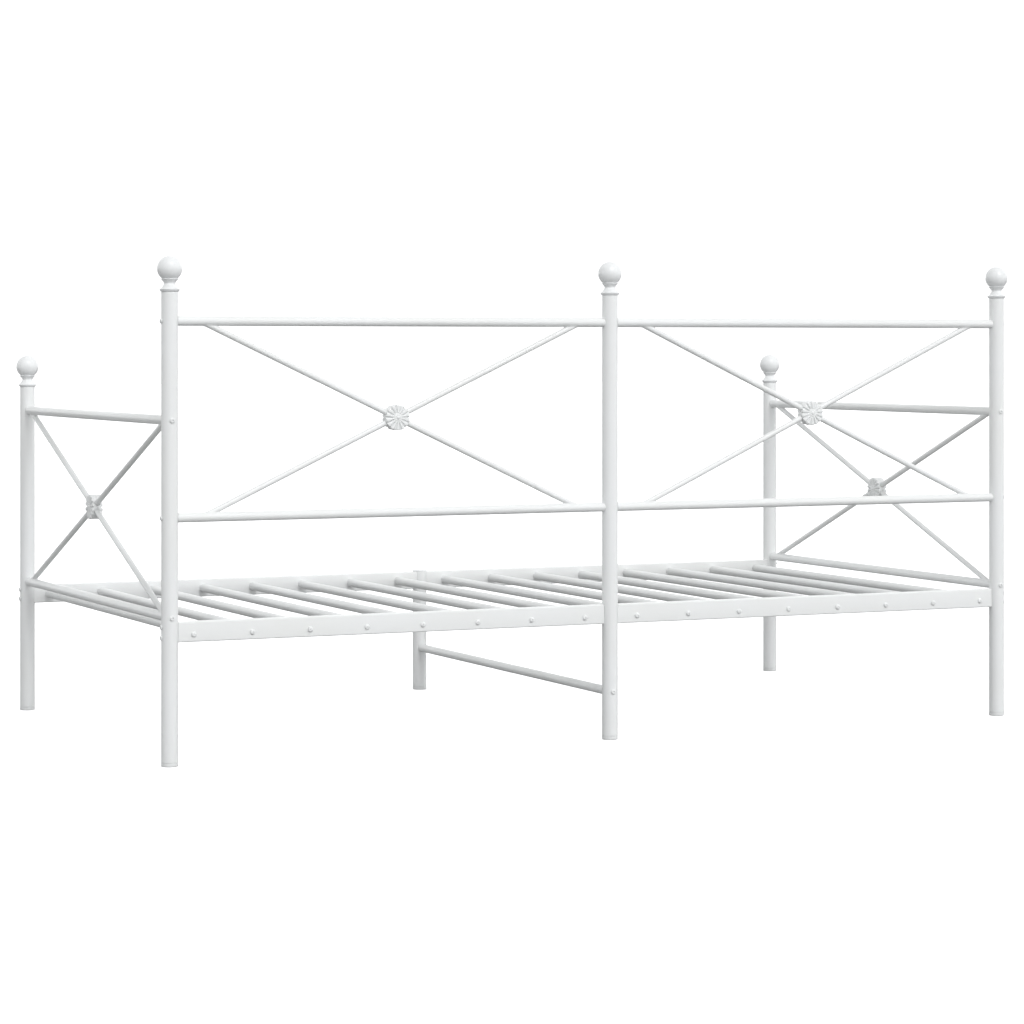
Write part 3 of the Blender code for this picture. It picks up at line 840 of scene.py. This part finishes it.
def rosette_half(shell, center, out, in_plane, bar_ways):
    """Adds the half on the side that 'out' points to: back with grooves, rim and face."""
    angles = turn(ROSETTE_SPOKES)
    ways = spokes(angles, in_plane, out)
    crest = CREST_WEAR * (1.0 - petal_share(angles))
    rim = ROSETTE_R - RIM_SCALLOP * petal_share(angles) ** 3
    reaches = face_reaches()
    rings = []
    wear = []

    def add(radius, height, worn):
        radius = np.broadcast_to(radius, len(angles))
        rings.append(center + radius[:, None] * ways + np.outer(height, out))
        wear.append(worn)

    def back_height(radius):
        height = np.full(len(angles), GAP / 2)
        for way in bar_ways:
            flat = radius * ways
            away = np.linalg.norm(flat - np.outer(flat @ way, way), axis=1)
            height = np.maximum(height, np.sqrt(np.maximum(GROOVE_R ** 2 - away ** 2, 0.0)))
        return height

    for radius in np.linspace(0.0, PLAIN_R - BACK_EDGE, BACK_STEPS + 1)[1:]:
        add(radius, back_height(radius), 0.0)
    foot = back_height(PLAIN_R)
    shoulder = np.maximum(face_height(rim, angles) - RIM_EDGE, foot + RIM_EDGE)
    for step, worn in RIM_STEPS:
        add(PLAIN_R + (rim - PLAIN_R) * step ** 2, foot + step * (shoulder - foot), worn)
    for inset, drop in RIM_ROUND:
        radius = rim - inset
        add(radius, np.maximum(face_height(radius, angles) - drop, shoulder + LEAST_RISE), RIM_WEAR)
    edge = rim - RIM_ROUND[-1][0]
    for step in (0.35, 0.70):
        radius = edge + step * (reaches[-1] - edge)
        add(radius, face_height(radius, angles), crest)
    for radius in reaches[::-1]:
        add(radius, face_height(radius, angles), crest if radius > BOSS_R else 0.0)
    shell.rings(rings, wear)


def make_rosette(node, center, normal, in_plane, bar_ways):
    """Two cast halves that meet round the crossed bars, and the rivet that holds them."""
    shell = Shell()
    for out in (normal, -normal):
        rosette_half(shell, center, out, in_plane, bar_ways)
    reach = BOSS_H - RIVET_SHY
    inner_r = RIVET_R - RIVET_EDGE
    rivet = [(CORE_R, -reach), (inner_r, -reach), (RIVET_R, RIVET_EDGE - reach),
             (RIVET_R, reach - RIVET_EDGE), (inner_r, reach), (CORE_R, reach)]
    lathe(rivet, RIVET_SEGMENTS, center, normal, in_plane, shell)
    piece("flower_" + node, shell, "cast_coat", (node,), sharp=50.0)


# ---- bolts and screws -----------------------------------------------------------------------
def make_bolt(name, seat, out, radius=HEAD_R, height=HEAD_H, socket=HEAD_SOCKET):
    """Button head with a hexagon socket; 'seat' is the middle of its underside."""
    angles = turn(HEAD_SEGMENTS)
    ways = spokes(angles, unit(np.cross(out, Z_AXIS)), out)
    sixth = math.pi / 3
    socket_r = radius * socket
    hexagon = socket_r / np.cos((angles + sixth / 2) % sixth - sixth / 2)
    floor = height - SOCKET_DEPTH * socket_r
    crown_r = SOCKET_CROWN * socket_r
    rows = [(SHANK_R, -SHANK_LENGTH, 0.0), (SHANK_R, 0.0, 0.0), (radius - HEAD_CHAMFER, 0.0, 0.2),
            (radius - 0.2 * HEAD_CHAMFER, 0.4 * HEAD_CHAMFER, 0.7), (radius, HEAD_SIDE, 0.7)]
    for angle in np.linspace(0.0, math.pi / 2, DOME_STEPS + 1)[1:]:
        rows.append((crown_r + (radius - crown_r) * math.cos(angle),
                     HEAD_SIDE + (height - HEAD_SIDE) * math.sin(angle), 0.15))
    rows += [(SOCKET_MOUTH * hexagon, height, 0.9), (hexagon, height - SOCKET_LIP, 1.0),
             (SOCKET_FLOOR * hexagon, floor, 0.2), (SOCKET_TIP * socket_r, floor - SOCKET_TIP_DEPTH, 0.0)]
    rings = []
    for reach, level, _ in rows:
        rings.append(seat + np.broadcast_to(reach, len(angles))[:, None] * ways + level * out)
    piece(name, Shell().rings(rings, [worn for _, _, worn in rows]), "bolt_coat")


def bolt_upright(name, upright, out, z):
    """Bolt in an upright at height z, its head on the side that 'out' points to."""
    foot, _, _ = upright_line(upright)
    make_bolt(name, foot + z * Z_AXIS + POST_R * out, out)


def make_slat_screws():
    for slat in SLATS:
        middle = node_center(slat)
        side = "left" if middle[0] < 0 else "right"
        number = slat.split("_")[1]
        for row in ("back", "front"):
            out = OUTWARD[row]
            low, high = node_box("%s_side_rail_%s" % (row, side))
            face = high[1] if row == "back" else low[1]
            seat = np.array((middle[0], face + SCREW_SEAT * out[1], middle[2] - SCREW_DROP))
            make_bolt("screw_%s_%s" % (row, number), seat, out,
                      SCREW_R, SCREW_H, SCREW_SOCKET)


def make_frame_bolts():
    """Two at each outer end of the side rails, one at each outer end of the other rails."""
    for post in END_POSTS:
        row, _, side = post.split("_")
        z = node_center("%s_side_rail_%s" % (row, side))[2]
        bolt_upright("bolt_%s_low" % post, post, OUTWARD[side], z - PAIR_HALF)
        bolt_upright("bolt_%s_high" % post, post, OUTWARD[side], z + PAIR_HALF)
    for side in ("left", "right"):
        for panel, row, way in (("arm", "back", "back"), ("arm", "front", "front"), ("back", "back", side)):
            post = "%s_post_%s" % (row, side)
            for level in ("top", "lower"):
                z = node_center("%s_%s_rail_%s" % (panel, level, side))[2]
                bolt_upright("bolt_%s_%s_%s" % (panel, level, post), post, OUTWARD[way], z)
    z = node_center("center_stretcher")[2]
    bolt_upright("bolt_stretcher_back_post_center", "back_post_center", OUTWARD["back"], z)
    bolt_upright("bolt_stretcher_front_center_leg", "front_center_leg", OUTWARD["front"], z)


# ---- studio ---------------------------------------------------------------------------------
def make_floor():
    """Pale floor: the camera sees it white, and the bed is lit by a darker one."""
    mesh = bpy.data.meshes.new("floor")
    corners = [(sx * FLOOR_HALF, sy * FLOOR_HALF, 0.0) for sx, sy in ((-1, -1), (1, -1), (1, 1), (-1, 1))]
    mesh.from_pydata(corners, [], [(0, 1, 2, 3)])
    floor = bpy.data.objects.new("floor", mesh)
    bpy.context.scene.collection.objects.link(floor)
    material = bpy.data.materials.new("studio_floor")
    material.use_nodes = True
    tree = material.node_tree
    shader = tree.nodes["Principled BSDF"]
    shader.inputs["Roughness"].default_value = FLOOR_ROUGHNESS
    shader.inputs["Specular IOR Level"].default_value = FLOOR_SHINE
    path = tree.nodes.new("ShaderNodeLightPath")
    tone = tree.nodes.new("ShaderNodeMix")
    tone.data_type = "RGBA"
    tone.inputs["A"].default_value = FLOOR_BOUNCE
    tone.inputs["B"].default_value = FLOOR_WHITE
    tree.links.new(path.outputs["Is Camera Ray"], tone.inputs["Factor"])
    tree.links.new(tone.outputs["Result"], shader.inputs["Base Color"])
    glow = tree.nodes.new("ShaderNodeMath")
    glow.operation = "MULTIPLY"
    glow.inputs[1].default_value = FLOOR_GLOW
    tree.links.new(path.outputs["Is Camera Ray"], glow.inputs[0])
    tree.links.new(glow.outputs[0], shader.inputs["Emission Strength"])
    shader.inputs["Emission Color"].default_value = WHITE
    mesh.materials.append(material)


def make_world():
    """Soft studio dome, brightest behind the camera; the camera sees a plain white backdrop."""
    world = bpy.data.worlds.new("studio")
    bpy.context.scene.world = world
    world.use_nodes = True
    tree = world.node_tree
    tree.nodes.clear()
    place = tree.nodes.new("ShaderNodeTexCoord").outputs["Generated"]

    def combine(operation, first, second):
        node = tree.nodes.new("ShaderNodeMath")
        node.operation = operation
        for socket, value in zip(node.inputs, (first, second)):
            if isinstance(value, float):
                socket.default_value = value
            else:
                tree.links.new(value, socket)
        return node.outputs[0]

    def facing(way):
        node = tree.nodes.new("ShaderNodeVectorMath")
        node.operation = "DOT_PRODUCT"
        node.inputs[1].default_value = way
        tree.links.new(place, node.inputs[0])
        return node.outputs["Value"]

    split = tree.nodes.new("ShaderNodeSeparateXYZ")
    tree.links.new(place, split.inputs["Vector"])
    height = combine("MAXIMUM", split.outputs["Z"], 0.0)
    low = combine("POWER", combine("SUBTRACT", 1.0, height), 2.0)
    level = combine("ADD", combine("MULTIPLY", low, DOME_HORIZON), DOME_ZENITH)
    level = combine("ADD", level, facing(DOME_LEAN))
    front = combine("POWER", combine("MAXIMUM", facing(FRONT_WAY), 0.0), 2.0)
    level = combine("ADD", level, combine("MULTIPLY", front, FRONT_LEVEL))
    dome = tree.nodes.new("ShaderNodeBackground")
    dome.inputs["Color"].default_value = DOME_COLOUR
    tree.links.new(combine("MAXIMUM", level, 0.0), dome.inputs["Strength"])
    white = tree.nodes.new("ShaderNodeBackground")
    white.inputs["Strength"].default_value = BACKDROP
    white.inputs["Color"].default_value = WHITE
    path = tree.nodes.new("ShaderNodeLightPath")
    mix = tree.nodes.new("ShaderNodeMixShader")
    tree.links.new(path.outputs["Is Camera Ray"], mix.inputs["Fac"])
    tree.links.new(dome.outputs[0], mix.inputs[1])
    tree.links.new(white.outputs[0], mix.inputs[2])
    output = tree.nodes.new("ShaderNodeOutputWorld")
    tree.links.new(mix.outputs[0], output.inputs["Surface"])


def make_key_light():
    lamp = bpy.data.lights.new("key", "SUN")
    lamp.energy = KEY_STRENGTH
    lamp.angle = math.radians(KEY_SPREAD)
    key = bpy.data.objects.new("key", lamp)
    key.rotation_mode = "QUATERNION"
    key.rotation_quaternion = Vector(KEY_WAY).to_track_quat("-Z", "Y")
    bpy.context.scene.collection.objects.link(key)


def make_camera():
    data = bpy.data.cameras.new("camera")
    data.lens = CAMERA_LENS
    data.sensor_width = CAMERA_SENSOR
    data.shift_y = CAMERA_SHIFT_Y
    data.clip_end = CAMERA_REACH
    camera = bpy.data.objects.new("camera", data)
    camera.location = CAMERA_PLACE
    camera.rotation_euler = (math.pi / 2, 0.0, math.pi - math.radians(CAMERA_AZIMUTH))
    bpy.context.scene.collection.objects.link(camera)
    bpy.context.scene.camera = camera


def build():
    make_materials()
    for name in UPRIGHTS:
        make_upright(name)
        make_foot(name)
    for name in TALL_POSTS:
        make_finial(name)
    make_leg_cap()
    for level in ("top", "lower"):
        make_round_rail("back_%s_rail_left" % level, X_AXIS, ("back_post_left", "back_post_center"))
        make_round_rail("back_%s_rail_right" % level, X_AXIS, ("back_post_center", "back_post_right"))
        for side in ("left", "right"):
            make_round_rail("arm_%s_rail_%s" % (level, side), Y_AXIS,
                            ("front_post_" + side, "back_post_" + side))
    make_round_rail("center_stretcher", Y_AXIS, ("front_center_leg", "back_post_center"))
    for row, middle in (("back", "back_post_center"), ("front", "front_center_leg")):
        make_side_rail(row + "_side_rail_left", (row + "_post_left", middle))
        make_side_rail(row + "_side_rail_right", (middle, row + "_post_right"))
    for slat in SLATS:
        make_slat(slat)
    for side in ("left", "right"):
        make_cross("back_" + side, X_AXIS, Y_AXIS, BACK_SLOPE)
        make_cross("arm_" + side, Y_AXIS, OUTWARD[side], ARM_SLOPE)
    make_slat_screws()
    make_frame_bolts()
    make_floor()
    make_world()
    make_key_light()
    make_camera()
    bpy.context.scene.view_settings.view_transform = "Standard"


build()
